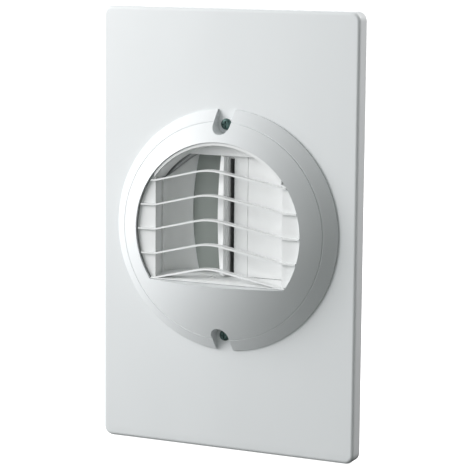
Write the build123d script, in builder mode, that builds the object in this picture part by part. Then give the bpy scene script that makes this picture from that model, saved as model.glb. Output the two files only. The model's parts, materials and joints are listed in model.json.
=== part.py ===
"""Through-wall heat recovery unit: outdoor wall plate with a round louvred cowl, a short round wall
sleeve, a plate heat exchanger, two small fans and a room-side end with two filter cassettes.

Frame: +Z up, +X to the right seen from outdoors, -Y outdoors. The origin is on the sleeve's axis, in
the plane of the wall's outer face, which is the back of the wall plate. Millimetres.
"""

from build123d import *
from math import cos, radians, sin, sqrt
import os

os.makedirs("parts", exist_ok=True)

# ---------------------------------------------------------------- driving dimensions
PLATE_WIDTH = 240.0
PLATE_HEIGHT = 380.0
PLATE_DEPTH = 14.0
PLATE_CORNER = 8.0
PLATE_SKIN = 2.5
PLATE_EDGE = 3.0
PLATE_HOLE_R = 76.0
RIB = 1.6
RIB_BACK = -4.0

FRONT = -PLATE_DEPTH  # the plate's front face, on which the cowl sits
COWL_R = 103.8
CENTRE_Z = 1.7  # the cowl and the louvre are centred this far above the plate and the sleeve
COWL_WALL = 2.4
DOME_R = 160.0  # the cowl is a cap of this sphere
DOME_TOP = 39.8  # where the whole cap's top would stand in front of the plate
GROOVE_R = 93.5
GROOVE = (1.0, 1.2)
D_RADIUS = 77.0
D_SILL = -42.3
RIM = -33.0  # the louvre's front plane
FIXING_R = 90.9
SLEEVE_FIXING_R = 89.5
NOTCH_R = 8.0
NOTCH_WALL = 2.0
LUG = 1.0
LUG_REACH = 5.5  # how far the lug goes past the screw's axis; beyond it the notch is open to the plate
LEDGE_THICK = 2.2

SEAM = 0.35
LOUVRE_R = D_RADIUS - SEAM
LOUVRE_BACK = FRONT - 0.3
LIP = 2.4
WINDOW_X = 59.5
CHEEK = RIM + 2.4
FLOOR_FRONT = -41.1
FLOOR_SLOPE = 0.2
WINDOW_TOP = 66.0
BLADE_PITCH = 21.1
BLADE_LOWEST = -41.25
BLADE_COUNT = 5
BLADE_THICK = 1.4
BLADE_DEPTH = 7.0
BLADE_END_R = 12.0
CREST_X = -8.8
CREST_RISE = 12.2
CREST_R = 60.0

SLEEVE_R = 75.0
SLEEVE_WALL = 2.0
SLEEVE_BORE = SLEEVE_R - SLEEVE_WALL
SPIGOT_R = 74.2  # the tube is stepped down in front of the wall, and the flange seats on the step
SLEEVE_FRONT = -9.0
SLEEVE_END = 96.0
FLANGE_R = 97.0
FLANGE = 2.5
INNER_R = 72.5  # what slides into the sleeve

MANIFOLD = (3.0, 16.0)
CORE = (17.0, 63.0)
BULKHEAD = (64.0, 67.0)
FAN_X = 36.0
FAN_BACK = 86.0
FAN_BORE = 30.6
FAN_R = 32.5
ROOM = (87.5, 99.0)
BRIDGE = 9.5

SHUTTER_PIN = (-7.4, 2.0)
SHUTTER_PIN_R = 1.0
SHUTTER_BOW_R = 39.0
SHUTTER_WALL = 1.4
SHUTTER_BOTTOM = -36.3
SHUTTER_TOP = 64.0
BARREL_R = 2.4
BARREL_LENGTH = 14.0

SPLIT_X = 19.9  # upright joint between the splitter's strip and the intake panel
SLOT = (3.0, 7.4)
COLUMN_LEFT = -4.6
NOSE = FRONT - 8.0
NOSE_RIGHT = 0.9
STEP = 1.05
TONGUE = (-11.0, 26.5)  # the splitter's tongue in the louvre's floor, from left to right
TONGUE_FRONT = -22.5
TONGUE_GAP = 0.6
PANEL = 2.0  # thickness of the splitter's strip and of the intake panel
SCOOP_FLOOR = -38.8
SCOOP_TOP = 65.9
SCOOP_R = 19.0
SCOOP_WALL = 1.6
EDGE_R = 203.0  # the scoop's upright edge is a long shallow arc

FIXING_THREAD_R = 2.5
FIXING_HOLE_R = 2.75
FIXING_HEAD_R = 4.8
FIXING_HEAD = 2.6
SLEEVE_THREAD_R = 2.0
SLEEVE_HOLE_R = 2.1
SHANK_UNDER = 0.2
SLEEVE_HEAD_R = 3.6
EAR_SCREW_R = 1.3
BOARD_SCREW_R = 1.2
PILLAR_SCREW_R = 1.5

CORE_HALF = 47.0
PLATE_COUNT = 31
PLATE_PITCH = 2.9
FOIL = 0.4
DRAIN = (0, -49.4)
DRAIN_R = 1.7
DRAIN_WALL = 0.6

PORT_R = 66.0
PORT_HALF = 51.0
LEDGE = 2.5
FILTER_CLEAR = 0.4
PLEATS = 14
MEDIA = 1.2
BUTTON_AT = (0, 26)
BUTTON_R = 4.0
BUTTON_FLANGE_R = 5.4
BUTTON_TRAVEL = 1.2
LENS_AT = (0, 40)
LENS_R = 1.6
GLAND_AT = (0, -60.5)
GLAND_BORE = 3.3
THREAD_R = 5.0
HEX_R = 7.4

RUNNING = 0.05  # radial clearance of a running fit
GAP = 0.4  # radial clearance between parts that move past each other
PAST = 50.0  # a cut of this length passes right through any piece


def at(y):
    """The upright plane at depth y, seen from outdoors: its x is X, its y is Z, its normal is -Y."""
    return Plane.XZ.offset(-y)


def finish(piece, name):
    """Labels a finished piece and writes it."""
    piece.part.label = name
    export_step(piece.part, f"parts/{name}.step")


def floor_height(y):
    """Height of the louvre's sloping floor at depth y; it falls towards the sill."""
    return FLOOR_FRONT + FLOOR_SLOPE * (y - RIM)


def d_shape(radius, sill):
    """A circle about the cowl's centre with a flat sill, drawn into the open sketch."""
    with Locations((0, CENTRE_Z)):
        Circle(radius)
    with Locations((0, sill - radius)):
        Rectangle(2.2 * radius, 2 * radius, mode=Mode.SUBTRACT)


fixing_places = [(0, CENTRE_Z + FIXING_R), (0, CENTRE_Z - FIXING_R)]
sleeve_places = [
    (SLEEVE_FIXING_R * cos(radians(a)), SLEEVE_FIXING_R * sin(radians(a))) for a in (30, 150, 210, 330)
]


# ---------------------------------------------------------------- wall plate and its seals
with BuildPart() as wall_plate:
    with BuildSketch(at(0)):
        RectangleRounded(PLATE_WIDTH, PLATE_HEIGHT, PLATE_CORNER)
    extrude(amount=PLATE_DEPTH)
    fillet(wall_plate.faces().sort_by(Axis.Y)[0].edges(), PLATE_EDGE)
    with BuildSketch(at(0)):
        RectangleRounded(
            PLATE_WIDTH - 2 * PLATE_SKIN,
            PLATE_HEIGHT - 2 * PLATE_SKIN,
            PLATE_CORNER - PLATE_SKIN,
        )
    extrude(amount=PLATE_DEPTH - PLATE_SKIN, mode=Mode.SUBTRACT)
    # stiffening ribs on the back of the skin, a ring wall round the hole and two screw bosses
    with BuildSketch(at(RIB_BACK)):
        with GridLocations(60, 0, 3, 1):
            Rectangle(RIB, PLATE_HEIGHT - PLATE_SKIN)
        with GridLocations(0, 62, 1, 5):
            Rectangle(PLATE_WIDTH - PLATE_SKIN, RIB)
        Circle(PLATE_HOLE_R + 3.5)
    extrude(amount=-FRONT + RIB_BACK - PLATE_SKIN)
    with BuildSketch(at(-FLANGE)):
        with Locations(*fixing_places):
            Circle(5)
    extrude(amount=-FRONT - FLANGE - PLATE_SKIN)
    with BuildSketch(at(0)):
        Circle(PLATE_HOLE_R)
        with Locations(*fixing_places):
            Circle(FIXING_HOLE_R)
    extrude(amount=PLATE_DEPTH, mode=Mode.SUBTRACT)
    # the hole's ring wall stands on the skin only
    with BuildSketch(at(0)):
        Circle(PLATE_HOLE_R + 1.5)
    extrude(amount=PLATE_DEPTH - PLATE_SKIN, mode=Mode.SUBTRACT)
finish(wall_plate, "wall_plate")

with BuildPart() as plate_gasket:
    with BuildSketch(at(0)):
        RectangleRounded(PLATE_WIDTH - 18, PLATE_HEIGHT - 18, 7)
        RectangleRounded(PLATE_WIDTH - 34, PLATE_HEIGHT - 34, 4, mode=Mode.SUBTRACT)
    extrude(amount=-RIB_BACK)
finish(plate_gasket, "plate_gasket")


# ---------------------------------------------------------------- cowl
COWL_AXIS = Axis((0, 0, CENTRE_Z), (0, 1, 0))


def dome_y(reach, shrink):
    """Depth of the dome's surface at a distance from the axis, moved inwards by shrink."""
    return FRONT - DOME_TOP + DOME_R - sqrt((DOME_R - shrink) ** 2 - reach**2)


def cowl_section(shrink):
    """Half section of the cowl's dome in the XY plane, moved inwards by shrink."""
    edge = COWL_R - shrink
    with BuildSketch(Plane.XY.offset(CENTRE_Z)) as section:
        with BuildLine():
            skirt = Line((edge, FRONT), (edge, dome_y(edge, shrink)))
            cap = ThreePointArc(skirt @ 1, (edge / 2, dome_y(edge / 2, shrink)), (0, dome_y(0, shrink)))
            Line(cap @ 1, (0, FRONT))
            Line((0, FRONT), skirt @ 0)
        make_face()
    return section.sketch


def notch_outline(radius):
    """U shapes at the top and the bottom of the cowl, open to its outer edge."""
    for side in (1, -1):
        with Locations((0, CENTRE_Z + side * FIXING_R)):
            Circle(radius)
        with Locations((0, CENTRE_Z + side * (FIXING_R + 10))):
            Rectangle(2 * radius, 20)


with BuildPart() as notch_walls:
    revolve(cowl_section(0), axis=COWL_AXIS)
    with BuildSketch(at(FRONT)):
        notch_outline(NOTCH_R + NOTCH_WALL)
    extrude(amount=PAST, mode=Mode.INTERSECT)

with BuildPart() as sill_ledge:
    revolve(cowl_section(0), axis=COWL_AXIS)
    with BuildSketch(at(FRONT - 2.6)):
        with Locations((0, D_SILL - LEDGE_THICK / 2)):
            Rectangle(2 * D_RADIUS, LEDGE_THICK)
    extrude(amount=PAST, mode=Mode.INTERSECT)

with BuildPart() as cowl_ring:
    revolve(cowl_section(0), axis=COWL_AXIS)
    revolve(cowl_section(COWL_WALL), axis=COWL_AXIS, mode=Mode.SUBTRACT)
    add(notch_walls.part)
    add(sill_ledge.part)
    # shallow moulded line round the dome
    with BuildSketch(Plane.XY.offset(CENTRE_Z)):
        with Locations((GROOVE_R, dome_y(GROOVE_R, 0))):
            Rectangle(*GROOVE)
    revolve(axis=COWL_AXIS, mode=Mode.SUBTRACT)
    with BuildSketch(at(FRONT)):
        d_shape(D_RADIUS, D_SILL)
    extrude(amount=PAST, mode=Mode.SUBTRACT)
    with BuildSketch(at(FRONT - LUG)):
        notch_outline(NOTCH_R)
    extrude(amount=PAST, mode=Mode.SUBTRACT)
    with BuildSketch(at(FRONT)):
        for side in (1, -1):
            with Locations((0, CENTRE_Z + side * (FIXING_R + LUG_REACH + 10))):
                Rectangle(2 * NOTCH_R, 20)
    extrude(amount=LUG, mode=Mode.SUBTRACT)
    with BuildSketch(at(FRONT)):
        with Locations(*fixing_places):
            Circle(FIXING_HOLE_R)
    extrude(amount=LUG, mode=Mode.SUBTRACT)
    # weep hole for condensate in the skirt beside the lower notch
    with BuildSketch(Plane.XY.offset(-COWL_R - 5)):
        with Locations((16, FRONT), (-16, FRONT)):
            Rectangle(5, 2)
    extrude(amount=12, mode=Mode.SUBTRACT)
finish(cowl_ring, "cowl_ring")


# ---------------------------------------------------------------- louvre
def wave(base):
    """One waved blade's band: level at both ends, rising to a rounded crest left of the centre."""
    reach = LOUVRE_R
    half = BLADE_THICK / 2
    corners = ((-reach, 0), (-WINDOW_X, 0), (CREST_X, CREST_RISE), (WINDOW_X, 0), (reach, 0))
    bends = (BLADE_END_R, CREST_R, BLADE_END_R)
    with BuildSketch() as band:
        with BuildLine():
            upper = FilletPolyline(*[(x, base + z + half) for x, z in corners], radius=bends)
            lower = FilletPolyline(*[(x, base + z - half) for x, z in corners], radius=bends)
            Line(upper @ 0, lower @ 0)
            Line(upper @ 1, lower @ 1)
        make_face()
    return band.sketch


with BuildPart() as window_cavity:
    with BuildSketch(Plane.YZ.offset(-WINDOW_X)):
        with BuildLine():
            Polyline(
                (RIM - 1, floor_height(RIM - 1)),
                (LOUVRE_BACK + 1, floor_height(LOUVRE_BACK + 1)),
                (LOUVRE_BACK + 1, LOUVRE_R),
                (RIM - 1, LOUVRE_R),
                close=True,
            )
        make_face()
    extrude(amount=2 * WINDOW_X)
    with BuildSketch(Plane.XY.offset(CENTRE_Z)):
        with BuildLine():
            Polyline(
                (0, RIM - 1),
                (LOUVRE_R - LIP, RIM - 1),
                (LOUVRE_R - 3.8, LOUVRE_BACK + 1),
                (0, LOUVRE_BACK + 1),
                close=True,
            )
        make_face()
    revolve(axis=COWL_AXIS, mode=Mode.INTERSECT)

with BuildPart() as blades:
    with BuildSketch(at(RIM + BLADE_DEPTH)):
        for number in range(BLADE_COUNT):
            add(wave(BLADE_LOWEST + number * BLADE_PITCH))
    extrude(amount=BLADE_DEPTH)
    with BuildSketch(at(RIM + BLADE_DEPTH)):
        d_shape(LOUVRE_R - 1, D_SILL + SEAM)
    extrude(amount=BLADE_DEPTH, mode=Mode.INTERSECT)

with BuildPart() as louvre_grille:
    with BuildSketch(at(LOUVRE_BACK)):
        d_shape(LOUVRE_R, D_SILL + SEAM)
    extrude(amount=LOUVRE_BACK - RIM)
    # flange held between the cowl and the plate
    with BuildSketch(at(FRONT)):
        d_shape(LOUVRE_R + 2.6, D_SILL - 3)
        d_shape(LOUVRE_R - 1, D_SILL + 1)
    extrude(amount=2.2)
    with BuildSketch(at(CHEEK)):
        d_shape(LOUVRE_R - LIP, FLOOR_FRONT)
        for side in (1, -1):
            with Locations((side * (WINDOW_X + 20), FLOOR_FRONT + 50)):
                Rectangle(40, 100)
    extrude(amount=CHEEK - RIM, mode=Mode.SUBTRACT)
    add(window_cavity.part, mode=Mode.SUBTRACT)
    # hollow behind each cheek, open at the back
    with BuildSketch(at(FRONT)):
        for side in (1, -1):
            with Locations((side * (WINDOW_X + 12), 0)):
                Rectangle(20, 74)
        with Locations((0, CENTRE_Z)):
            Circle(LOUVRE_R - 2.2, mode=Mode.INTERSECT)
    extrude(amount=FRONT - CHEEK - 2, mode=Mode.SUBTRACT)
    add(blades.part)
    # brow above the window's flat top
    with BuildSketch(at(FRONT - 2.2)):
        with Locations((0, CENTRE_Z)):
            Circle(LOUVRE_R - 1)
        with Locations((0, WINDOW_TOP - 100)):
            Rectangle(200, 200, mode=Mode.SUBTRACT)
    extrude(amount=2)
    # shallow seat for the splitter's tongue
    seat_front = TONGUE_FRONT - TONGUE_GAP
    with BuildSketch(Plane.YZ.offset(TONGUE[0] - TONGUE_GAP)):
        with BuildLine():
            Polyline(
                (seat_front, floor_height(seat_front) - 1.2),
                (FRONT + 1, floor_height(FRONT + 1) - 1.2),
                (FRONT + 1, floor_height(FRONT + 1) + 1),
                (seat_front, floor_height(seat_front) + 1),
                close=True,
            )
        make_face()
    extrude(amount=TONGUE[1] - TONGUE[0] + 2 * TONGUE_GAP, mode=Mode.SUBTRACT)
finish(louvre_grille, "louvre_grille")


# ---------------------------------------------------------------- inside the window
INSIDE_R = SLEEVE_BORE - 0.4
scoop_inner = -WINDOW_X + 0.3 + SCOOP_WALL
scoop_centre = (scoop_inner + SCOOP_R, -18.0)
scoop_back = scoop_centre[1] + SCOOP_R
edge_centre = (scoop_centre[0] - 0.6 + EDGE_R, 14.5)


with BuildPart() as exhaust_scoop:
    with BuildSketch(Plane.XY.offset(SCOOP_FLOOR)):
        with BuildLine():
            wall = Line((scoop_inner, -19.0), (scoop_inner, scoop_centre[1]))
            bend = RadiusArc(wall @ 1, (scoop_centre[0], scoop_back), SCOOP_R)
            back = Line(bend @ 1, (-28.0, scoop_back))
            offset(amount=SCOOP_WALL, side=Side.LEFT)
        make_face()
    extrude(amount=SCOOP_TOP - SCOOP_FLOOR)
    with BuildSketch(at(scoop_back + SCOOP_WALL)):
        with Locations(((-WINDOW_X + 0.3 - 5.0) / 2, SCOOP_FLOOR + SCOOP_WALL / 2)):
            Rectangle(WINDOW_X - 0.3 - 5.0, SCOOP_WALL)
    extrude(amount=scoop_back + SCOOP_WALL - FRONT - 0.8)
    with BuildSketch(at(20)):
        Circle(INSIDE_R)
    extrude(amount=PAST, mode=Mode.INTERSECT)
    with BuildSketch(Plane.YZ.offset(-WINDOW_X - 1)):
        with BuildLine():
            Polyline(
                (RIM, floor_height(RIM)),
                (LOUVRE_BACK + 0.5, floor_height(LOUVRE_BACK + 0.5)),
                (LOUVRE_BACK + 0.5, SCOOP_FLOOR - 5),
                (RIM, SCOOP_FLOOR - 5),
                close=True,
            )
        make_face()
    extrude(amount=WINDOW_X, mode=Mode.SUBTRACT)
    with BuildSketch(at(20)):
        with Locations(edge_centre):
            Circle(EDGE_R)
        with Locations((0, SCOOP_FLOOR)):
            Rectangle(200, 2 * SCOOP_WALL, mode=Mode.SUBTRACT)
    extrude(amount=60, mode=Mode.SUBTRACT)
    with BuildSketch(Plane.XY.offset(SCOOP_FLOOR)):
        with Locations(SHUTTER_PIN):
            Circle(SHUTTER_PIN_R)
    extrude(amount=SCOOP_WALL, mode=Mode.SUBTRACT)
finish(exhaust_scoop, "exhaust_scoop")


def column_outline(height, nose_left):
    """Plan of the splitter's column: a narrow nose, stepped back on its right towards the slot."""
    with BuildSketch(Plane.XY.offset(height)) as plan:
        with BuildLine():
            Polyline(
                (COLUMN_LEFT, MANIFOLD[0] - 0.1),
                (COLUMN_LEFT, nose_left),
                (NOSE_RIGHT, NOSE),
                (NOSE_RIGHT + STEP, NOSE + STEP),
                (NOSE_RIGHT + STEP, NOSE + 3 * STEP),
                (SLOT[0], NOSE + 4 * STEP),
                (SLOT[0], FRONT + 2),
                (0, FRONT + 3),
                (0, MANIFOLD[0] - 0.1),
                close=True,
            )
        make_face()
    return plan.sketch


with BuildPart() as air_splitter:
    loft(
        [
            column_outline(-36.6, FRONT - 2),
            column_outline(14.5, NOSE + 0.4),
            column_outline(WINDOW_TOP - 0.4, FRONT - 2),
        ]
    )
    with BuildSketch(at(FRONT + 2)):
        with Locations(((COLUMN_LEFT + SPLIT_X) / 2, (WINDOW_TOP + SCOOP_FLOOR) / 2 + 0.6)):
            Rectangle(SPLIT_X - COLUMN_LEFT, WINDOW_TOP - SCOOP_FLOOR - 0.8)
        with Locations(((SLOT[0] + SLOT[1]) / 2, 14)):
            Rectangle(SLOT[1] - SLOT[0], 99, mode=Mode.SUBTRACT)
    extrude(amount=PANEL)
    # tongue lying in the louvre's floor
    with BuildSketch(Plane.YZ.offset(TONGUE[0])):
        with BuildLine():
            Polyline(
                (TONGUE_FRONT, floor_height(TONGUE_FRONT) - 1.2),
                (FRONT + 0.7, floor_height(FRONT + 0.7) - 1.2),
                (FRONT + 0.7, floor_height(FRONT + 0.7)),
                (TONGUE_FRONT, floor_height(TONGUE_FRONT)),
                close=True,
            )
        make_face()
    extrude(amount=TONGUE[1] - TONGUE[0])
    # two drain holes beside the foot of the column
    with BuildSketch(Plane.XY.offset(-45)):
        with Locations((-7.5, -16.6), (-7.5, -20.4)):
            Circle(1.1)
    extrude(amount=8, mode=Mode.SUBTRACT)
finish(air_splitter, "air_splitter")

with BuildPart() as intake_panel:
    with BuildSketch(at(FRONT + 2)):
        with Locations((SPLIT_X + 0.3 + 25, (WINDOW_TOP - 37.0) / 2)):
            Rectangle(50, WINDOW_TOP + 37.0)
        Circle(INSIDE_R, mode=Mode.INTERSECT)
        Rectangle(2 * WINDOW_X - 0.8, 200, mode=Mode.INTERSECT)
    extrude(amount=PANEL)
finish(intake_panel, "intake_panel")

# ---------------------------------------------------------------- backdraught shutter
pin_x, pin_y = SHUTTER_PIN
shutter_tip = scoop_centre[0] - 0.2

with BuildPart() as exhaust_shutter:
    with BuildSketch(Plane.XY.offset(SHUTTER_BOTTOM)):
        with BuildLine():
            bow = RadiusArc((shutter_tip - 1.0, 1.0), (pin_x - BARREL_R + 0.5, 1.0), -SHUTTER_BOW_R)
            offset(amount=SHUTTER_WALL, side=Side.LEFT)
        make_face()
    extrude(amount=SHUTTER_TOP - SHUTTER_BOTTOM)
    with BuildSketch(at(20)):
        with Locations(edge_centre):
            Circle(EDGE_R - 0.8)
    extrude(amount=40, mode=Mode.INTERSECT)
    for bottom in (-33.0, 46.0):
        with BuildSketch(Plane.XY.offset(bottom)):
            with Locations(SHUTTER_PIN):
                Circle(BARREL_R)
        extrude(amount=BARREL_LENGTH)
    with BuildSketch(Plane.XY.offset(-60)):
        with Locations(SHUTTER_PIN):
            Circle(SHUTTER_PIN_R + RUNNING)
    extrude(amount=140, mode=Mode.SUBTRACT)
finish(exhaust_shutter, "exhaust_shutter")

with BuildPart() as shutter_pin:
    with BuildSketch(Plane.XY.offset(-38.5)):
        with Locations(SHUTTER_PIN):
            Circle(SHUTTER_PIN_R)
    extrude(amount=106)
finish(shutter_pin, "shutter_pin")

with BuildPart() as shutter_spring:
    with BuildLine(Plane.XY.offset(36)):
        coil = Helix(pitch=1.1, height=6.6, radius=1.5, center=(pin_x, pin_y, 0))
    with BuildSketch(Plane(origin=coil @ 0, z_dir=coil % 0)):
        Circle(0.25)
    sweep(path=coil)
finish(shutter_spring, "shutter_spring")


# ---------------------------------------------------------------- fixings, sleeve and manifold
def screw(head_at, head_r, head_height, thread_r, tip_at, recess):
    """A pan-head screw on the Y axis, head outdoors: the shank is thinner than the thread behind y=0."""
    shank_r = thread_r - SHANK_UNDER
    with BuildPart() as one:
        with BuildSketch(Plane.XY):
            with BuildLine():
                Polyline(
                    (0, head_at),
                    (head_r * 0.62, head_at),
                    (head_r * 0.92, head_at + head_height * 0.35),
                    (head_r, head_at + head_height * 0.75),
                    (head_r, head_at + head_height),
                    (shank_r, head_at + head_height),
                    (shank_r, 0),
                    (thread_r, 0),
                    (thread_r, tip_at - 2 * thread_r),
                    (0, tip_at),
                    close=True,
                )
            make_face()
        revolve(axis=Axis.Y)
        with BuildSketch(at(head_at)):
            Rectangle(recess, recess * 0.22)
            Rectangle(recess * 0.22, recess)
        extrude(amount=-head_height * 0.6, mode=Mode.SUBTRACT)
    return one.part


with BuildPart() as cowl_screws:
    for x, z in fixing_places:
        one_screw = screw(FRONT - LUG - FIXING_HEAD, FIXING_HEAD_R, FIXING_HEAD, FIXING_THREAD_R, 34, 5.6)
        add(Pos(x, 0, z) * one_screw)
finish(cowl_screws, "cowl_screws")

with BuildPart() as wall_sleeve:
    with BuildSketch(at(SLEEVE_END)):
        Circle(SLEEVE_R)
        Circle(SLEEVE_BORE, mode=Mode.SUBTRACT)
    extrude(amount=SLEEVE_END)
    with BuildSketch(at(0)):
        Circle(SPIGOT_R)
        Circle(SLEEVE_BORE, mode=Mode.SUBTRACT)
    extrude(amount=-SLEEVE_FRONT)
finish(wall_sleeve, "wall_sleeve")

# fixing flange, a flat ring bonded round the tube's spigot
with BuildPart() as sleeve_flange:
    with BuildSketch(at(0)):
        Circle(FLANGE_R)
        Circle(SPIGOT_R + RUNNING, mode=Mode.SUBTRACT)
        with Locations(*fixing_places):
            Circle(FIXING_HOLE_R, mode=Mode.SUBTRACT)
        with Locations(*sleeve_places):
            Circle(SLEEVE_HOLE_R, mode=Mode.SUBTRACT)
    extrude(amount=FLANGE)
    # recesses for the heads of the sleeve's own screws
    with BuildSketch(at(-FLANGE)):
        with Locations(*sleeve_places):
            Circle(SLEEVE_HEAD_R + 0.3)
    extrude(amount=-1.2, mode=Mode.SUBTRACT)
finish(sleeve_flange, "sleeve_flange")

with BuildPart() as sleeve_screws:
    for x, z in sleeve_places:
        add(Pos(x, 0, z) * screw(-FLANGE, SLEEVE_HEAD_R, 1.2, SLEEVE_THREAD_R, 32, 3.6))
finish(sleeve_screws, "sleeve_screws")

with BuildPart() as outdoor_manifold:
    with BuildSketch(at(MANIFOLD[1])):
        Circle(INNER_R)
    extrude(amount=MANIFOLD[1] - MANIFOLD[0])
    # wide chambers on the exchanger's side, narrower ports on the louvre's side
    for left, right in ((-66, -4), (2, 66)):
        with BuildSketch(at(MANIFOLD[1])):
            Circle(66)
            with Locations(((left + right) / 2, 12)):
                Rectangle(right - left, 108, mode=Mode.INTERSECT)
        extrude(amount=7, mode=Mode.SUBTRACT)
    for left, right in ((-36.5, -10.6), (4, 56)):
        with BuildSketch(at(MANIFOLD[1])):
            Circle(66)
            with Locations(((left + right) / 2, 14.2)):
                Rectangle(right - left, 97.5, mode=Mode.INTERSECT)
        extrude(amount=20, mode=Mode.SUBTRACT)
    # relief for the shutter's barrels, lug for the pin's upper end, hole for the drain
    with BuildSketch(at(MANIFOLD[0] + 2.2)):
        with Locations((pin_x, 14)):
            Rectangle(2 * BARREL_R + 1.2, 100)
    extrude(amount=5, mode=Mode.SUBTRACT)
    with BuildSketch(at(MANIFOLD[0] + 1)):
        with Locations((pin_x, 66.5)):
            Rectangle(5.2, 4)
    extrude(amount=3.6)
    with BuildSketch(Plane.XY.offset(60)):
        with Locations(SHUTTER_PIN):
            Circle(SHUTTER_PIN_R)
    extrude(amount=7.5, mode=Mode.SUBTRACT)
    with BuildSketch(at(MANIFOLD[1])):
        with Locations(DRAIN):
            Circle(DRAIN_R)
    extrude(amount=20, mode=Mode.SUBTRACT)
finish(outdoor_manifold, "outdoor_manifold")

with BuildPart() as intake_mesh:
    with BuildSketch(at(MANIFOLD[0])):
        Circle(68)
        with Locations((31, 13)):
            Rectangle(59, 104, mode=Mode.INTERSECT)
        with Locations((30, 13)):
            with GridLocations(4, 4, 12, 20):
                Rectangle(3.3, 3.3, mode=Mode.SUBTRACT)
    extrude(amount=1)
finish(intake_mesh, "intake_mesh")

# ---------------------------------------------------------------- heat exchanger
core_length = CORE[1] - CORE[0]

for name, side in (("core_shell_upper", 1), ("core_shell_lower", -1)):
    with BuildPart() as shell:
        with BuildSketch(at(CORE[1])):
            Circle(INNER_R)
            Rectangle(2 * CORE_HALF + 0.8, 2 * CORE_HALF + 0.8, mode=Mode.SUBTRACT)
            with Locations((0, -side * 50)):
                Rectangle(200, 100, mode=Mode.SUBTRACT)
            if side < 0:
                with Locations(DRAIN):
                    Rectangle(62, 5, mode=Mode.SUBTRACT)
        extrude(amount=core_length)
        # shallow grooves round the outside save material and grip the sleeve's seal
        with BuildSketch(Plane.XY):
            with Locations((INNER_R, CORE[0] + 10), (INNER_R, CORE[1] - 10)):
                Rectangle(3, 5)
        revolve(axis=Axis.Y, mode=Mode.SUBTRACT)
    finish(shell, name)

with BuildPart() as core_frame:
    with BuildSketch(at(CORE[1] - 0.2)):
        for side in (1, -1):
            with Locations((0, side * (CORE_HALF - 1))):
                Rectangle(2 * CORE_HALF, 2)
    extrude(amount=core_length - 0.4)
    for back in (CORE[1] - 0.2, CORE[0] + 4.0):
        with BuildSketch(at(back)):
            for side in (1, -1):
                with Locations((side * (CORE_HALF - 0.9), 0)):
                    Rectangle(1.8, 2 * CORE_HALF)
        extrude(amount=3.8)
    for back in (CORE[1] - 0.2, CORE[0] + 1.4):
        with BuildSketch(at(back)):
            Rectangle(3, 2 * CORE_HALF)
        extrude(amount=1.2)
finish(core_frame, "core_frame")

with BuildPart() as exchanger_plates:
    with BuildSketch(at(CORE[1] - 1.6)):
        with GridLocations(0, PLATE_PITCH, 1, PLATE_COUNT):
            Rectangle(2 * CORE_HALF - 4, FOIL)
    extrude(amount=core_length - 3.2)
finish(exchanger_plates, "exchanger_plates")

with BuildPart() as core_seals:
    for back in (CORE[0], BULKHEAD[0]):
        with BuildSketch(at(back)):
            Rectangle(2 * CORE_HALF, 2 * CORE_HALF)
            Rectangle(2 * CORE_HALF - 6, 2 * CORE_HALF - 6, mode=Mode.SUBTRACT)
        extrude(amount=1)
finish(core_seals, "core_seals")

with BuildPart() as condensate_tray:
    with BuildSketch(at(CORE[1] - 1)):
        with Locations(DRAIN):
            Rectangle(60, 3.6)
    extrude(amount=core_length - 2)
    with BuildSketch(at(CORE[1] - 2.2)):
        with Locations((0, -48.5)):
            Rectangle(57.6, 4.2)
    extrude(amount=core_length - 4.4, mode=Mode.SUBTRACT)
    with BuildSketch(at(CORE[0] + 4)):
        with Locations(DRAIN):
            Circle(DRAIN_R - DRAIN_WALL)
    extrude(amount=4, mode=Mode.SUBTRACT)
finish(condensate_tray, "condensate_tray")

with BuildPart() as drain_tube:
    with BuildSketch(at(CORE[0] + 1)):
        with Locations(DRAIN):
            Circle(DRAIN_R)
            Circle(DRAIN_R - DRAIN_WALL, mode=Mode.SUBTRACT)
    extrude(amount=CORE[0] + 1 + 20)
finish(drain_tube, "drain_tube")

# ---------------------------------------------------------------- fans
EAR_ANGLES = (75, 130, 230, 285)
EAR_AT = 35.5
PILLARS = [(24, 62), (-24, 62), (24, -62), (-24, -62)]
BOARD_FEET = [(30, 39.5), (-30, 39.5), (30, 53), (-30, 53)]


def ear_places(side):
    """Centres of one fan's fixing ears; side is 1 for the right fan, -1 for the left."""
    return [
        (side * (FAN_X + EAR_AT * cos(radians(a))), EAR_AT * sin(radians(a))) for a in EAR_ANGLES
    ]


with BuildPart() as fan_bulkhead:
    with BuildSketch(at(BULKHEAD[1])):
        Circle(INNER_R)
        with Locations((FAN_X, 0), (-FAN_X, 0)):
            Circle(31, mode=Mode.SUBTRACT)
    extrude(amount=BULKHEAD[1] - BULKHEAD[0])
    with BuildSketch(at(ROOM[0])):
        with Locations(*PILLARS):
            Circle(3.2)
    extrude(amount=ROOM[0] - BULKHEAD[1])
    with BuildSketch(at(BULKHEAD[1] + 3)):
        with Locations(*BOARD_FEET):
            Circle(2.5)
    extrude(amount=3)
    with BuildSketch(at(ROOM[0])):
        with Locations(*PILLARS):
            Circle(PILLAR_SCREW_R)
    extrude(amount=10, mode=Mode.SUBTRACT)
    with BuildSketch(at(BULKHEAD[1] + 3)):
        with Locations(*BOARD_FEET):
            Circle(BOARD_SCREW_R)
        with Locations(*ear_places(1), *ear_places(-1)):
            Circle(EAR_SCREW_R)
    extrude(amount=5, mode=Mode.SUBTRACT)
finish(fan_bulkhead, "fan_bulkhead")

HUB = (69.0, 82.4)
HUB_R = 12.0
SHAFT_R = 1.5
TUBE_R = 4.2
BUSH_R = 2.6
IMPELLER_R = 29.9
IMPELLER_BLADES = 7

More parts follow.
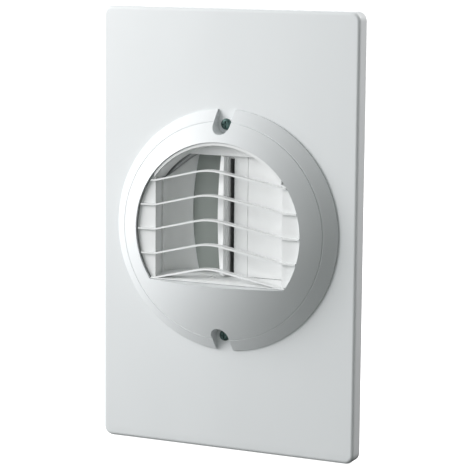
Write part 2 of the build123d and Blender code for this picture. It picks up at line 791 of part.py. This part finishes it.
for name, side in (("supply", -1), ("extract", 1)):
    place = (side * FAN_X, 0)

    with BuildPart() as fan_frame:
        with BuildSketch(at(FAN_BACK)):
            with Locations(place):
                Circle(FAN_R)
        extrude(amount=FAN_BACK - BULKHEAD[1])
        with BuildSketch(at(BULKHEAD[1] + 3)):
            with Locations(*ear_places(side)):
                Circle(3.6)
        extrude(amount=3)
        with BuildSketch(at(FAN_BACK)):
            with Locations(place):
                Circle(FAN_BORE)
            with Locations(*ear_places(side)):
                Circle(1.6)
        extrude(amount=FAN_BACK - BULKHEAD[1], mode=Mode.SUBTRACT)
        with BuildSketch(at(FAN_BACK)):
            with Locations(place):
                Circle(12.5)
                with PolarLocations(21.5, 3, start_angle=90):
                    Rectangle(19.5, 3)
        extrude(amount=2)
        with BuildSketch(at(FAN_BACK - 2)):
            with Locations(place):
                Circle(TUBE_R)
                Circle(BUSH_R, mode=Mode.SUBTRACT)
        extrude(amount=12)
    finish(fan_frame, f"{name}_fan_frame")

    with BuildPart() as bearing:
        with BuildSketch(at(83.5)):
            with Locations(place):
                Circle(BUSH_R)
                Circle(SHAFT_R + RUNNING, mode=Mode.SUBTRACT)
        extrude(amount=10.5)
    finish(bearing, f"{name}_bearing")

    with BuildPart() as stator:
        with BuildSketch(at(81)):
            with Locations(place):
                Circle(8.4)
                Circle(TUBE_R, mode=Mode.SUBTRACT)
                with PolarLocations(7.6, 6):
                    Rectangle(3, 1.6, mode=Mode.SUBTRACT)
        extrude(amount=7)
    finish(stator, f"{name}_stator")

    with BuildPart() as shaft:
        with BuildSketch(at(83.8)):
            with Locations(place):
                Circle(SHAFT_R)
        extrude(amount=83.8 - HUB[0])
    finish(shaft, f"{name}_shaft")

    with BuildPart() as magnet:
        with BuildSketch(at(82)):
            with Locations(place):
                Circle(10.6)
                Circle(9.0, mode=Mode.SUBTRACT)
        extrude(amount=10)
    finish(magnet, f"{name}_magnet")

    # one blade, lofted from a steep root to a flatter tip
    sections = []
    for reach, chord, pitch in ((11.4, 13.0, 50), (31.0, 16.0, 33)):
        spot = Plane(origin=(place[0] + reach, 75.7, 0), x_dir=(0, 0, 1), z_dir=(1, 0, 0))
        with BuildSketch(spot) as section:
            RectangleRounded(chord, 1.3, 0.5, rotation=-side * pitch)
        sections.append(section.sketch)
    with BuildPart() as fan_blade:
        loft(sections)

    with BuildPart() as impeller:
        spin = Axis((place[0], 0, 0), (0, 1, 0))
        for number in range(IMPELLER_BLADES):
            add(fan_blade.part.rotate(spin, number * 360 / IMPELLER_BLADES))
        with BuildSketch(at(90)):
            with Locations(place):
                Circle(IMPELLER_R)
        extrude(amount=30, mode=Mode.INTERSECT)
        with BuildSketch(at(HUB[1])):
            with Locations(place):
                Circle(HUB_R)
        extrude(amount=HUB[1] - HUB[0])
        with BuildSketch(at(HUB[1])):
            with Locations(place):
                Circle(10.6)
        extrude(amount=HUB[1] - HUB[0] - 2, mode=Mode.SUBTRACT)
        with BuildSketch(at(HUB[1])):
            with Locations(place):
                Circle(SHAFT_R)
        extrude(amount=HUB[1] - HUB[0], mode=Mode.SUBTRACT)
    finish(impeller, f"{name}_impeller")

with BuildPart() as fan_screws:
    for x, z in ear_places(1) + ear_places(-1):
        with BuildSketch(at(BULKHEAD[1] + 5)):
            with Locations((x, z)):
                Circle(2.6)
        extrude(amount=2)
        with BuildSketch(at(BULKHEAD[1] + 3)):
            with Locations((x, z)):
                Circle(EAR_SCREW_R)
        extrude(amount=5)
finish(fan_screws, "fan_screws")

# ---------------------------------------------------------------- controls
BOARD = (BULKHEAD[1] + 3, BULKHEAD[1] + 4.6)

with BuildPart() as control_board:
    with BuildSketch(at(BOARD[1])):
        with Locations((0, 46.2)):
            RectangleRounded(68, 19, 1.5)
        with Locations(*BOARD_FEET):
            Circle(1.6, mode=Mode.SUBTRACT)
    extrude(amount=BOARD[1] - BOARD[0])
finish(control_board, "control_board")

# x, z, width, height and depth of each component on the board
COMPONENTS = (
    (-20, 46.5, 13, 14, 11),
    (-7, 49, 8, 8, 9),
    (3, 44, 6, 11, 7),
    (13, 48, 9, 9, 2),
    (22.5, 41.5, 8, 5, 8),
    (22.5, 50.5, 8, 5, 8),
)
with BuildPart() as board_components:
    for x, z, width, height, depth in COMPONENTS:
        with BuildSketch(at(BOARD[1] + depth)):
            with Locations((x, z)):
                RectangleRounded(width, height, 0.6)
        extrude(amount=depth)
    with BuildSketch(at(BOARD[1] + 10)):
        with Locations((9, 41), (14.5, 41)):
            Circle(2.5)
    extrude(amount=10)
finish(board_components, "board_components")

with BuildPart() as board_screws:
    for x, z in BOARD_FEET:
        with BuildSketch(at(BOARD[1] + 1.6)):
            with Locations((x, z)):
                Circle(2.4)
        extrude(amount=1.6)
        with BuildSketch(at(BOARD[1])):
            with Locations((x, z)):
                Circle(BOARD_SCREW_R)
        extrude(amount=5)
finish(board_screws, "board_screws")

with BuildPart() as terminal_block:
    with BuildSketch(at(BULKHEAD[1] + 13)):
        with Locations((0, -50)):
            Rectangle(30, 11)
    extrude(amount=13)
    with BuildSketch(at(BULKHEAD[1] + 13)):
        with Locations((0, -50)):
            with GridLocations(9, 0, 3, 1):
                Circle(2.2)
    extrude(amount=6, mode=Mode.SUBTRACT)
    with BuildSketch(Plane.XY.offset(-44.5)):
        with Locations((0, BULKHEAD[1] + 7)):
            with GridLocations(9, 0, 3, 1):
                Rectangle(5, 5)
    extrude(amount=-4, mode=Mode.SUBTRACT)
finish(terminal_block, "terminal_block")

with BuildPart() as humidity_sensor:
    with BuildSketch(at(BULKHEAD[1] + 1.2)):
        with Locations((0, -37)):
            Rectangle(12, 9)
    extrude(amount=1.2)
    with BuildSketch(at(BULKHEAD[1] + 4)):
        with Locations((1.5, -37)):
            Rectangle(5, 5)
            Circle(1.2, mode=Mode.SUBTRACT)
    extrude(amount=2.8)
finish(humidity_sensor, "humidity_sensor")

# ---------------------------------------------------------------- room-side end
FILTER = (ROOM[0] + 1.7, ROOM[1] + 0.8)


def port_outline(side, shrink):
    """One of the two round-backed openings of the room-side end, drawn into the open sketch."""
    Circle(PORT_R - shrink)
    Rectangle(160, 2 * (PORT_HALF - shrink), mode=Mode.INTERSECT)
    with Locations((side * (BRIDGE + shrink + 40), 0)):
        Rectangle(80, 160, mode=Mode.INTERSECT)


with BuildPart() as room_frame:
    with BuildSketch(at(ROOM[1])):
        Circle(SLEEVE_R - 0.1)
    extrude(amount=ROOM[1] - SLEEVE_END)
    with BuildSketch(at(SLEEVE_END)):
        Circle(INNER_R)
    extrude(amount=SLEEVE_END - ROOM[0])
    fillet(room_frame.faces().sort_by(Axis.Y)[-1].edges(), 1.5)
    for side in (1, -1):
        with BuildSketch(at(ROOM[1])):
            port_outline(side, 0)
        extrude(amount=ROOM[1] - FILTER[0] + 0.1, mode=Mode.SUBTRACT)
        with BuildSketch(at(ROOM[1])):
            port_outline(side, LEDGE)
        extrude(amount=20, mode=Mode.SUBTRACT)
    # pocket behind the bridge for the switch board, holes for button, lens, gland and screws
    with BuildSketch(at(ROOM[1] - 4)):
        with Locations((0, 33)):
            Rectangle(14, 32)
    extrude(amount=20, mode=Mode.SUBTRACT)
    with BuildSketch(at(ROOM[1])):
        with Locations(BUTTON_AT):
            Circle(BUTTON_R + GAP)
        with Locations(LENS_AT):
            Circle(LENS_R)
        with Locations(GLAND_AT):
            Circle(THREAD_R)
        with Locations(*PILLARS):
            Circle(PILLAR_SCREW_R + 0.2)
    extrude(amount=20, mode=Mode.SUBTRACT)
    with BuildSketch(at(ROOM[1])):
        with Locations(*PILLARS):
            Circle(3.3)
    extrude(amount=2.4, mode=Mode.SUBTRACT)
finish(room_frame, "room_frame")

with BuildPart() as room_frame_screws:
    for x, z in PILLARS:
        with BuildSketch(at(ROOM[1] - 0.4)):
            with Locations((x, z)):
                Circle(2.9)
                Rectangle(3.4, 0.8, mode=Mode.SUBTRACT)
                Rectangle(0.8, 3.4, mode=Mode.SUBTRACT)
        extrude(amount=2)
        with BuildSketch(at(ROOM[1] - 1.6)):
            with Locations((x, z)):
                Circle(PILLAR_SCREW_R)
        extrude(amount=19)
finish(room_frame_screws, "room_frame_screws")

with BuildPart() as switch_board:
    with BuildSketch(at(ROOM[0] + 1.6)):
        with Locations((0, 33)):
            Rectangle(13, 30)
    extrude(amount=1.6)
    with BuildSketch(at(ROOM[0] + 4.4)):
        with Locations(BUTTON_AT):
            Rectangle(6, 6)
    extrude(amount=2.8)
finish(switch_board, "switch_board")

switch_top = ROOM[0] + 4.4
button_rear = switch_top + BUTTON_TRAVEL + 0.4
with BuildPart() as boost_button:
    with BuildSketch(at(ROOM[1] + 1.6)):
        with Locations(BUTTON_AT):
            Circle(BUTTON_R)
    extrude(amount=ROOM[1] + 1.6 - button_rear)
    fillet(boost_button.faces().sort_by(Axis.Y)[-1].edges(), 0.8)
    # flange that keeps the button behind the frame's wall
    with BuildSketch(at(button_rear + 1.2)):
        with Locations(BUTTON_AT):
            Circle(BUTTON_FLANGE_R)
    extrude(amount=1.2)
finish(boost_button, "boost_button")

with BuildPart() as indicator_lens:
    with BuildSketch(at(ROOM[1] + 0.5)):
        with Locations(LENS_AT):
            Circle(LENS_R)
    extrude(amount=4.2)
    fillet(indicator_lens.faces().sort_by(Axis.Y)[-1].edges(), 0.5)
finish(indicator_lens, "indicator_lens")

with BuildPart() as cable_gland:
    with BuildSketch(at(ROOM[1] + 4)):
        with Locations(GLAND_AT):
            RegularPolygon(HEX_R, 6)
    extrude(amount=4)
    with BuildSketch(at(ROOM[1] + 8)):
        with Locations(GLAND_AT):
            Circle(THREAD_R)
    extrude(amount=ROOM[1] + 8 - (ROOM[0] - 4))
    with BuildSketch(at(ROOM[1] + 20)):
        with Locations(GLAND_AT):
            Circle(GLAND_BORE)
    extrude(amount=PAST, mode=Mode.SUBTRACT)
finish(cable_gland, "cable_gland")

with BuildPart() as gland_nut:
    with BuildSketch(at(ROOM[1] + 12)):
        with Locations(GLAND_AT):
            Circle(6.8)
    extrude(amount=7.6)
    fillet(gland_nut.faces().sort_by(Axis.Y)[-1].edges(), 2.2)
    with BuildSketch(at(ROOM[1] + 8)):
        with Locations(GLAND_AT):
            Circle(THREAD_R)
    extrude(amount=6, mode=Mode.SUBTRACT)
    with BuildSketch(at(ROOM[1] + 14)):
        with Locations(GLAND_AT):
            Circle(GLAND_BORE)
    extrude(amount=14, mode=Mode.SUBTRACT)
    with BuildSketch(at(ROOM[1] + 9.4)):
        with Locations(GLAND_AT):
            with PolarLocations(7.0, 12):
                Circle(0.6)
    extrude(amount=6, mode=Mode.SUBTRACT)
finish(gland_nut, "gland_nut")

with BuildPart() as gland_locknut:
    with BuildSketch(at(ROOM[0])):
        with Locations(GLAND_AT):
            RegularPolygon(HEX_R, 6)
            Circle(THREAD_R, mode=Mode.SUBTRACT)
    extrude(amount=3)
finish(gland_locknut, "gland_locknut")

PAD = (FILTER[0] + 0.8, FILTER[1] - 3.0)

for name, side in (("supply", -1), ("extract", 1)):
    with BuildPart() as cassette:
        with BuildSketch(at(FILTER[1])):
            port_outline(side, FILTER_CLEAR)
        extrude(amount=FILTER[1] - FILTER[0])
        with BuildSketch(at(FILTER[1] - 1.6)):
            port_outline(side, FILTER_CLEAR + 1.6)
        extrude(amount=20, mode=Mode.SUBTRACT)
        # bars of the grille, left standing between the slots
        with BuildSketch(at(FILTER[1])):
            port_outline(side, FILTER_CLEAR + 3.4)
            with GridLocations(0, 6.6, 1, 14):
                Rectangle(160, 1.8, mode=Mode.SUBTRACT)
            with Locations((side * 36, 0)):
                Rectangle(2.4, 160, mode=Mode.SUBTRACT)
            with Locations((side * 36, 0)):
                Rectangle(18, 8.4, mode=Mode.SUBTRACT)
        extrude(amount=4, mode=Mode.SUBTRACT)
        # finger tab
        with BuildSketch(at(FILTER[1] + 4)):
            with Locations((side * 36, 0)):
                RectangleRounded(16, 3, 1.2)
        extrude(amount=4)
    finish(cassette, f"{name}_filter_frame")

    with BuildPart() as pad:
        pitch = 2 * (PORT_HALF - FILTER_CLEAR - 1.9) / PLEATS
        low = -PLEATS * pitch / 2
        peaks = []
        for fold in range(PLEATS):
            peaks += [(PAD[0] + MEDIA, low + fold * pitch), (PAD[1], low + (fold + 0.5) * pitch)]
        peaks.append((PAD[0] + MEDIA, low + PLEATS * pitch))
        with BuildSketch(Plane.YZ):
            with BuildLine():
                Polyline(*peaks, *[(y - MEDIA, z) for y, z in reversed(peaks)], close=True)
            make_face()
        extrude(amount=side * 80)
        with BuildSketch(at(ROOM[1] + 5)):
            port_outline(side, FILTER_CLEAR + 1.9)
        extrude(amount=30, mode=Mode.INTERSECT)
    finish(pad, f"{name}_filter_pad")
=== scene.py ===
"""Looks for the through-wall heat recovery unit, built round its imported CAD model."""
import json
import math

import bmesh
import bpy
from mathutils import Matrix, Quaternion, Vector


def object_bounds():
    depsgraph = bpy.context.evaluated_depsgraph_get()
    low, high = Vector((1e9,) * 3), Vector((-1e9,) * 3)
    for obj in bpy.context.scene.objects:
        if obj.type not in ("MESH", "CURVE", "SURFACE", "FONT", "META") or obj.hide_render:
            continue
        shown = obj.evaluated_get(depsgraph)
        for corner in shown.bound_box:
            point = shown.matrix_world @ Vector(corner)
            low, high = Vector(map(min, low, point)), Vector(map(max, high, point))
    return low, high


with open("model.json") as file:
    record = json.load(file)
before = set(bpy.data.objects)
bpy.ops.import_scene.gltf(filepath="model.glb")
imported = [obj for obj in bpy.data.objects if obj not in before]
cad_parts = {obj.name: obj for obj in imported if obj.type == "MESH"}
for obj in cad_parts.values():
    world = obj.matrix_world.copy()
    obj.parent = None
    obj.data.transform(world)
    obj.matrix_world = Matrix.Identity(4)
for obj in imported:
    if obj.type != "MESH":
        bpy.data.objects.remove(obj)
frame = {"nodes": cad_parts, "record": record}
cad_low, cad_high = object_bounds()
NODES = frame["nodes"]
MM = 0.001

scene = bpy.context.scene
scene.view_settings.view_transform = "Standard"


# ---------------------------------------------------------------- node helpers
class Shader:
    """A material with short ways to add and join its nodes."""

    def __init__(self, name, color, rough, metal=0.0, coat=0.0, coat_rough=0.1, spec=0.5, ior=1.5):
        self.mat = bpy.data.materials.new(name)
        self.mat.use_nodes = True
        self.nt = self.mat.node_tree
        self.bsdf = self.nt.nodes["Principled BSDF"]
        self.color = color
        self.rough = rough
        self.bsdf.inputs["Metallic"].default_value = metal
        self.bsdf.inputs["Roughness"].default_value = rough
        self.bsdf.inputs["Coat Weight"].default_value = coat
        self.bsdf.inputs["Coat Roughness"].default_value = coat_rough
        self.bsdf.inputs["Specular IOR Level"].default_value = spec
        self.bsdf.inputs["IOR"].default_value = ior
        self.bsdf.inputs["Base Color"].default_value = (*color, 1)
        self.coords = self.add("ShaderNodeTexCoord").outputs["Object"]
        self.tint = None
        self.height = None

    def add(self, kind, **values):
        node = self.nt.nodes.new(kind)
        for key, value in values.items():
            setattr(node, key, value)
        return node

    def join(self, out, into):
        self.nt.links.new(out, into)

    def stretched(self, scale):
        """Object coordinates stretched by scale along X, Y and Z."""
        node = self.add("ShaderNodeMapping")
        node.inputs["Scale"].default_value = scale
        self.join(self.coords, node.inputs["Vector"])
        return node.outputs["Vector"]

    def noise(self, scale, detail=3.0, rough=0.5, vector=None):
        node = self.add("ShaderNodeTexNoise")
        node.inputs["Scale"].default_value = scale
        node.inputs["Detail"].default_value = detail
        node.inputs["Roughness"].default_value = rough
        self.join(vector or self.coords, node.inputs["Vector"])
        return node.outputs["Fac"]

    def cells(self, scale, feature="F1", vector=None):
        node = self.add("ShaderNodeTexVoronoi", feature=feature)
        node.inputs["Scale"].default_value = scale
        self.join(vector or self.coords, node.inputs["Vector"])
        return node.outputs["Distance"]

    def ranged(self, value, low, high, to_low, to_high):
        node = self.add("ShaderNodeMapRange")
        node.inputs["From Min"].default_value = low
        node.inputs["From Max"].default_value = high
        node.inputs["To Min"].default_value = to_low
        node.inputs["To Max"].default_value = to_high
        self.join(value, node.inputs["Value"])
        return node.outputs["Result"]

    def mixed(self, factor, one, other):
        """Colour mixed from one to other by factor; each may be a colour or a socket."""
        node = self.add("ShaderNodeMix", data_type="RGBA")
        self.join(factor, node.inputs["Factor"])
        for key, value in (("A", one), ("B", other)):
            socket = [s for s in node.inputs if s.name == key and s.type == "RGBA"][0]
            if isinstance(value, tuple):
                socket.default_value = (*value, 1)
            else:
                self.join(value, socket)
        return [s for s in node.outputs if s.type == "RGBA"][0]

    def paint(self, socket):
        self.tint = socket
        self.join(socket, self.bsdf.inputs["Base Color"])

    def polish(self, value, low, high):
        """Roughness from a 0..1 pattern."""
        self.join(self.ranged(value, 0.3, 0.7, low, high), self.bsdf.inputs["Roughness"])

    def bump(self, height, strength, distance):
        """Adds a bump, stacked on the ones before it. Distance is in metres."""
        node = self.add("ShaderNodeBump")
        node.inputs["Strength"].default_value = strength
        node.inputs["Distance"].default_value = distance
        self.join(height, node.inputs["Height"])
        if self.height is not None:
            self.join(self.height, node.inputs["Normal"])
        self.height = node.outputs["Normal"]
        self.join(self.height, self.bsdf.inputs["Normal"])

    def painted_corner_shade(self, color, reach, amount):
        """Paints shade into corners: a greyer tint where a place is closed in, by ambient occlusion, broken
        up by noise.
        """
        closed = self.add("ShaderNodeAmbientOcclusion", samples=8)
        closed.inputs["Distance"].default_value = reach
        shaded = self.ranged(closed.outputs["AO"], 0.2, 0.95, amount, 0.0)
        broken = self.add("ShaderNodeMath", operation="MULTIPLY")
        self.join(shaded, broken.inputs[0])
        self.join(self.ranged(self.noise(90, 4), 0.35, 0.65, 0.55, 1.0), broken.inputs[1])
        self.paint(self.mixed(broken.outputs[0], self.tint or self.color, color))


def shift(color, amount):
    """The colour made lighter or darker by amount."""
    return tuple(min(1.0, max(0.0, channel * (1 + amount))) for channel in color)


def moulded(name, color, rough, grain=2200, depth=0.00003, coat=0.0, variation=0.03, corner_shade=None):
    """Injection-moulded plastic: fine spark-eroded grain, faint flow shading, slightly uneven gloss and,
    when asked, painted shade greyed into closed-in corners.
    """
    s = Shader(name, color, rough, coat=coat)
    flow = s.noise(9, 3, 0.45, s.stretched((1.0, 1.0, 0.45)))
    streaks = s.ranged(flow, 0.3, 0.7, 0.0, 1.0)
    s.paint(s.mixed(streaks, shift(color, -variation), shift(color, variation * 0.4)))
    s.polish(s.noise(60, 4), rough - 0.05, rough + 0.07)
    s.bump(s.cells(grain), 0.22, depth)
    s.bump(s.noise(grain * 0.35, 2), 0.12, depth * 2)
    s.bump(s.noise(6, 2), 0.05, 0.0006)
    # painted shade: a greyer tint where the surface is closed in
    if corner_shade:
        s.painted_corner_shade(*corner_shade)
    return s


def metal(name, color, rough, scale=(1, 60, 1), wear=0.2):
    """Drawn or turned metal with fine lines along one axis and uneven plating."""
    s = Shader(name, color, rough, metal=1.0)
    lines = s.noise(600, 3, 0.6, s.stretched(scale))
    patch = s.noise(260, 4)
    s.paint(s.mixed(s.ranged(patch, 0.35, 0.65, 0.0, 1.0), shift(color, -wear), shift(color, wear * 0.6)))
    s.polish(lines, rough - 0.08, rough + 0.14)
    s.bump(lines, 0.18, 0.00002)
    return s


# ---------------------------------------------------------------- materials
# grey used as painted shade in closed-in corners
SHADE_GREY = (0.55, 0.56, 0.55)
# last tuple on each white: painted-shade colour, occlusion reach in metres and amount
white = moulded("white_asa", (0.86, 0.875, 0.885), 0.46, corner_shade=((0.62, 0.64, 0.645), 0.012, 0.55))
louvre = moulded("louvre_white", (0.90, 0.905, 0.905), 0.38, grain=2600, depth=0.00002,
                 corner_shade=((0.60, 0.62, 0.61), 0.005, 0.6))
shutter = moulded("shutter_grey", (0.33, 0.36, 0.34), 0.42, variation=0.08)
room = moulded("room_white", (0.84, 0.845, 0.835), 0.44, corner_shade=(SHADE_GREY, 0.006, 0.6))
pipe = moulded("sleeve_grey", (0.52, 0.53, 0.54), 0.36, grain=900, variation=0.05)
lines = pipe.noise(700, 2, 0.5, pipe.stretched((1, 0.02, 1)))
pipe.bump(lines, 0.25, 0.00006)
abs_grey = moulded("abs_grey", (0.34, 0.36, 0.37), 0.5, variation=0.05)
tray = moulded("tray_white", (0.72, 0.73, 0.73), 0.34, variation=0.03)
fan_black = moulded("fan_black", (0.018, 0.018, 0.02), 0.42, grain=1800, variation=0.25)
mesh_black = moulded("mesh_black", (0.014, 0.014, 0.015), 0.5, variation=0.2)
component = moulded("component_dark", (0.025, 0.025, 0.03), 0.35, variation=0.3)
terminal = moulded("terminal_grey", (0.16, 0.18, 0.20), 0.45, variation=0.1)
gland = moulded("gland_grey", (0.085, 0.09, 0.095), 0.42, variation=0.15)

epp = Shader("epp_black", (0.022, 0.022, 0.024), 0.72)
beads = epp.cells(330)
epp.paint(epp.mixed(epp.ranged(beads, 0.0, 0.6, 0.0, 1.0), (0.03, 0.03, 0.033), (0.012, 0.012, 0.013)))
epp.bump(beads, 0.6, 0.0004)
epp.bump(epp.noise(2500, 3), 0.2, 0.00008)

foam = Shader("foam_grey", (0.05, 0.053, 0.057), 0.85)
pores = foam.cells(1400)
foam.paint(foam.mixed(foam.ranged(pores, 0.0, 0.6, 0.0, 1.0), (0.03, 0.032, 0.035), (0.075, 0.078, 0.08)))
foam.bump(pores, 0.7, 0.00025)

zinc = metal("zinc_dark", (0.10, 0.16, 0.15), 0.36, (1, 1, 1), 0.3)
steel = metal("steel", (0.55, 0.56, 0.57), 0.26)
bronze = metal("bearing_bronze", (0.45, 0.27, 0.12), 0.42)
copper = metal("winding_copper", (0.62, 0.24, 0.11), 0.3)
wound = copper.noise(900, 2, 0.5, copper.stretched((1, 14, 1)))
copper.bump(wound, 0.6, 0.00012)
magnet = metal("magnet_dark", (0.06, 0.06, 0.065), 0.5)
foil = metal("exchanger_aluminium", (0.72, 0.73, 0.74), 0.28, (0.3, 60, 0.3), 0.08)

board = moulded("board_green", (0.012, 0.09, 0.04), 0.32, grain=900, coat=0.4, variation=0.2)
tracks = board.add("ShaderNodeTexBrick")
tracks.inputs["Scale"].default_value = 320
board.join(board.coords, tracks.inputs["Vector"])
board.bump(tracks.outputs["Fac"], 0.25, 0.00005)

tube = Shader("tube_clear", (0.70, 0.72, 0.71), 0.3)
tube.bsdf.inputs["Transmission Weight"].default_value = 0.6
tube.paint(tube.mixed(tube.noise(120), (0.62, 0.64, 0.63), (0.78, 0.8, 0.79)))

lens = Shader("lens_green", (0.18, 0.55, 0.27), 0.12)
lens.bsdf.inputs["Transmission Weight"].default_value = 0.7
lens.paint(lens.mixed(lens.noise(400), (0.12, 0.48, 0.20), (0.25, 0.62, 0.33)))
lens.bump(lens.cells(900), 0.3, 0.0001)

media = Shader("filter_media", (0.72, 0.73, 0.72), 0.92)
fibres = media.noise(1500, 6, 0.75, media.stretched((1, 1, 3)))
media.paint(media.mixed(media.ranged(fibres, 0.35, 0.65, 0.0, 1.0), (0.58, 0.59, 0.58), (0.80, 0.81, 0.80)))
media.bsdf.inputs["Sheen Weight"].default_value = 0.4
media.bump(fibres, 0.8, 0.0003)

SLOTS = {
    "white_asa": white, "louvre_white": louvre, "shutter_grey": shutter, "room_white": room,
    "sleeve_grey": pipe, "abs_grey": abs_grey, "tray_white": tray, "fan_black": fan_black,
    "mesh_black": mesh_black, "component_dark": component, "terminal_grey": terminal,
    "gland_grey": gland, "epp_black": epp, "foam_grey": foam, "zinc_dark": zinc, "steel": steel,
    "bearing_bronze": bronze, "winding_copper": copper, "magnet_dark": magnet,
    "exchanger_aluminium": foil, "board_green": board, "tube_clear": tube, "lens_green": lens,
    "filter_media": media,
}
slot_of = {row["node"]: row["material_slot"] for row in frame["record"]["subparts"]}
for name, node in NODES.items():
    node.data.materials.clear()
    node.data.materials.append(SLOTS[slot_of[name]].mat)

# ---------------------------------------------------------------- soft edges on the CAD pieces
EDGE = {
    "wall_plate": 0.5, "cowl_ring": 0.45, "louvre_grille": 0.3, "exhaust_scoop": 0.25,
    "air_splitter": 0.3, "intake_panel": 0.25, "exhaust_shutter": 0.25, "wall_sleeve": 0.3,
    "sleeve_flange": 0.3, "cowl_screws": 0.2, "room_frame": 0.35, "supply_filter_frame": 0.25,
    "extract_filter_frame": 0.25, "cable_gland": 0.3, "gland_nut": 0.2,
}
for name, width in EDGE.items():
    soft = NODES[name].modifiers.new("edges", "BEVEL")
    soft.width = width * MM
    soft.segments = 2
    soft.limit_method = "ANGLE"
    soft.angle_limit = math.radians(35)
    soft.harden_normals = True

# ---------------------------------------------------------------- floor, light and camera
FLOOR_HALF = 60.0
sheet_mesh = bpy.data.meshes.new("floor")
work = bmesh.new()
bmesh.ops.create_grid(work, x_segments=12, y_segments=12, size=FLOOR_HALF)
work.to_mesh(sheet_mesh)
work.free()
floor = bpy.data.objects.new("floor", sheet_mesh)
floor.location.z = cad_low.z - 0.0005
scene.collection.objects.link(floor)
paper = Shader("floor_paper", (0.93, 0.93, 0.93), 0.9, spec=0.0)
paper.paint(paper.mixed(paper.noise(3), (0.925, 0.925, 0.925), (0.94, 0.94, 0.94)))
paper.bsdf.inputs["Emission Color"].default_value = (1, 1, 1, 1)
paper.bsdf.inputs["Emission Strength"].default_value = 0.85
floor.data.materials.append(paper.mat)
floor.visible_diffuse = False
floor.visible_glossy = False

# the studio: a soft dome that is bright on the left, a little above and in front, and dim on the right
BRIGHT_SIDE = Vector((-0.86, -0.40, 0.32)).normalized()
DOME_BRIGHT = 1.22
DOME_POWER = 2.9
world = bpy.data.worlds.new("studio")
scene.world = world
world.use_nodes = True
tree = world.node_tree
sky = tree.nodes["Background"]
way = tree.nodes.new("ShaderNodeTexCoord")
along = tree.nodes.new("ShaderNodeVectorMath")
along.operation = "DOT_PRODUCT"
along.inputs[1].default_value = BRIGHT_SIDE
tree.links.new(way.outputs["Generated"], along.inputs[0])
share = tree.nodes.new("ShaderNodeMapRange")
share.inputs["From Min"].default_value = -1.0
tree.links.new(along.outputs["Value"], share.inputs["Value"])
fall = tree.nodes.new("ShaderNodeMath")
fall.operation = "POWER"
fall.inputs[1].default_value = DOME_POWER
tree.links.new(share.outputs["Result"], fall.inputs[0])
level = tree.nodes.new("ShaderNodeMath")
level.operation = "MULTIPLY"
level.inputs[1].default_value = DOME_BRIGHT
tree.links.new(fall.outputs["Value"], level.inputs[0])
tree.links.new(level.outputs["Value"], sky.inputs["Strength"])
cast = tree.nodes.new("ShaderNodeMix")
cast.data_type = "RGBA"
colours = [socket for socket in cast.inputs if socket.type == "RGBA"]
colours[0].default_value = (0.84, 0.96, 0.88, 1)
colours[1].default_value = (0.97, 0.98, 1.0, 1)
tree.links.new(share.outputs["Result"], cast.inputs["Factor"])
tree.links.new([socket for socket in cast.outputs if socket.type == "RGBA"][0], sky.inputs["Color"])


def area_light(name, place, aim, size, power, color):
    """A square lamp at place that faces aim and can't be seen by the camera."""
    data = bpy.data.lights.new(name, "AREA")
    data.size = size
    data.energy = power
    data.color = color
    lamp = bpy.data.objects.new(name, data)
    lamp.location = place
    lamp.rotation_mode = "QUATERNION"
    lamp.rotation_quaternion = (Vector(aim) - Vector(place)).to_track_quat("-Z", "Y")
    lamp.visible_camera = False
    scene.collection.objects.link(lamp)


# name, place, aim, side in metres, power in watts and colour
WHITE = (1, 1, 1)
LAMPS = (
    ("key", (-0.72, -0.56, 0.38), (-0.02, 0, 0), 0.6, 6.7, WHITE),
    ("side", (1.15, 0.75, 1.05), (0.12, 0, 0.05), 0.6, 21.0, WHITE),
    ("fill", (0.75, -1.1, 0.05), (0, 0, 0), 0.8, 1.1, (0.93, 1.0, 0.95)),
    ("rear", (-0.9, 1.7, 0.9), (0, 0.1, 0), 0.9, 9.0, WHITE),
)
for lamp in LAMPS:
    area_light(*lamp)

AZIMUTH = math.radians(25.51)
ELEVATION = math.radians(8.45)
ROLL = math.radians(0.47)
DISTANCE = 1.767
TARGET = Vector((0.0082, -0.014, -0.0018))
lens_data = bpy.data.cameras.new("camera")
lens_data.sensor_width = 36
lens_data.lens = 158.9
camera = bpy.data.objects.new("camera", lens_data)
away = Vector((
    math.sin(AZIMUTH) * math.cos(ELEVATION),
    -math.cos(AZIMUTH) * math.cos(ELEVATION),
    math.sin(ELEVATION),
))
camera.location = TARGET + away * DISTANCE
camera.rotation_mode = "QUATERNION"
camera.rotation_quaternion = (-away).to_track_quat("-Z", "Y") @ Quaternion((0, 0, 1), ROLL)
scene.collection.objects.link(camera)
scene.camera = camera
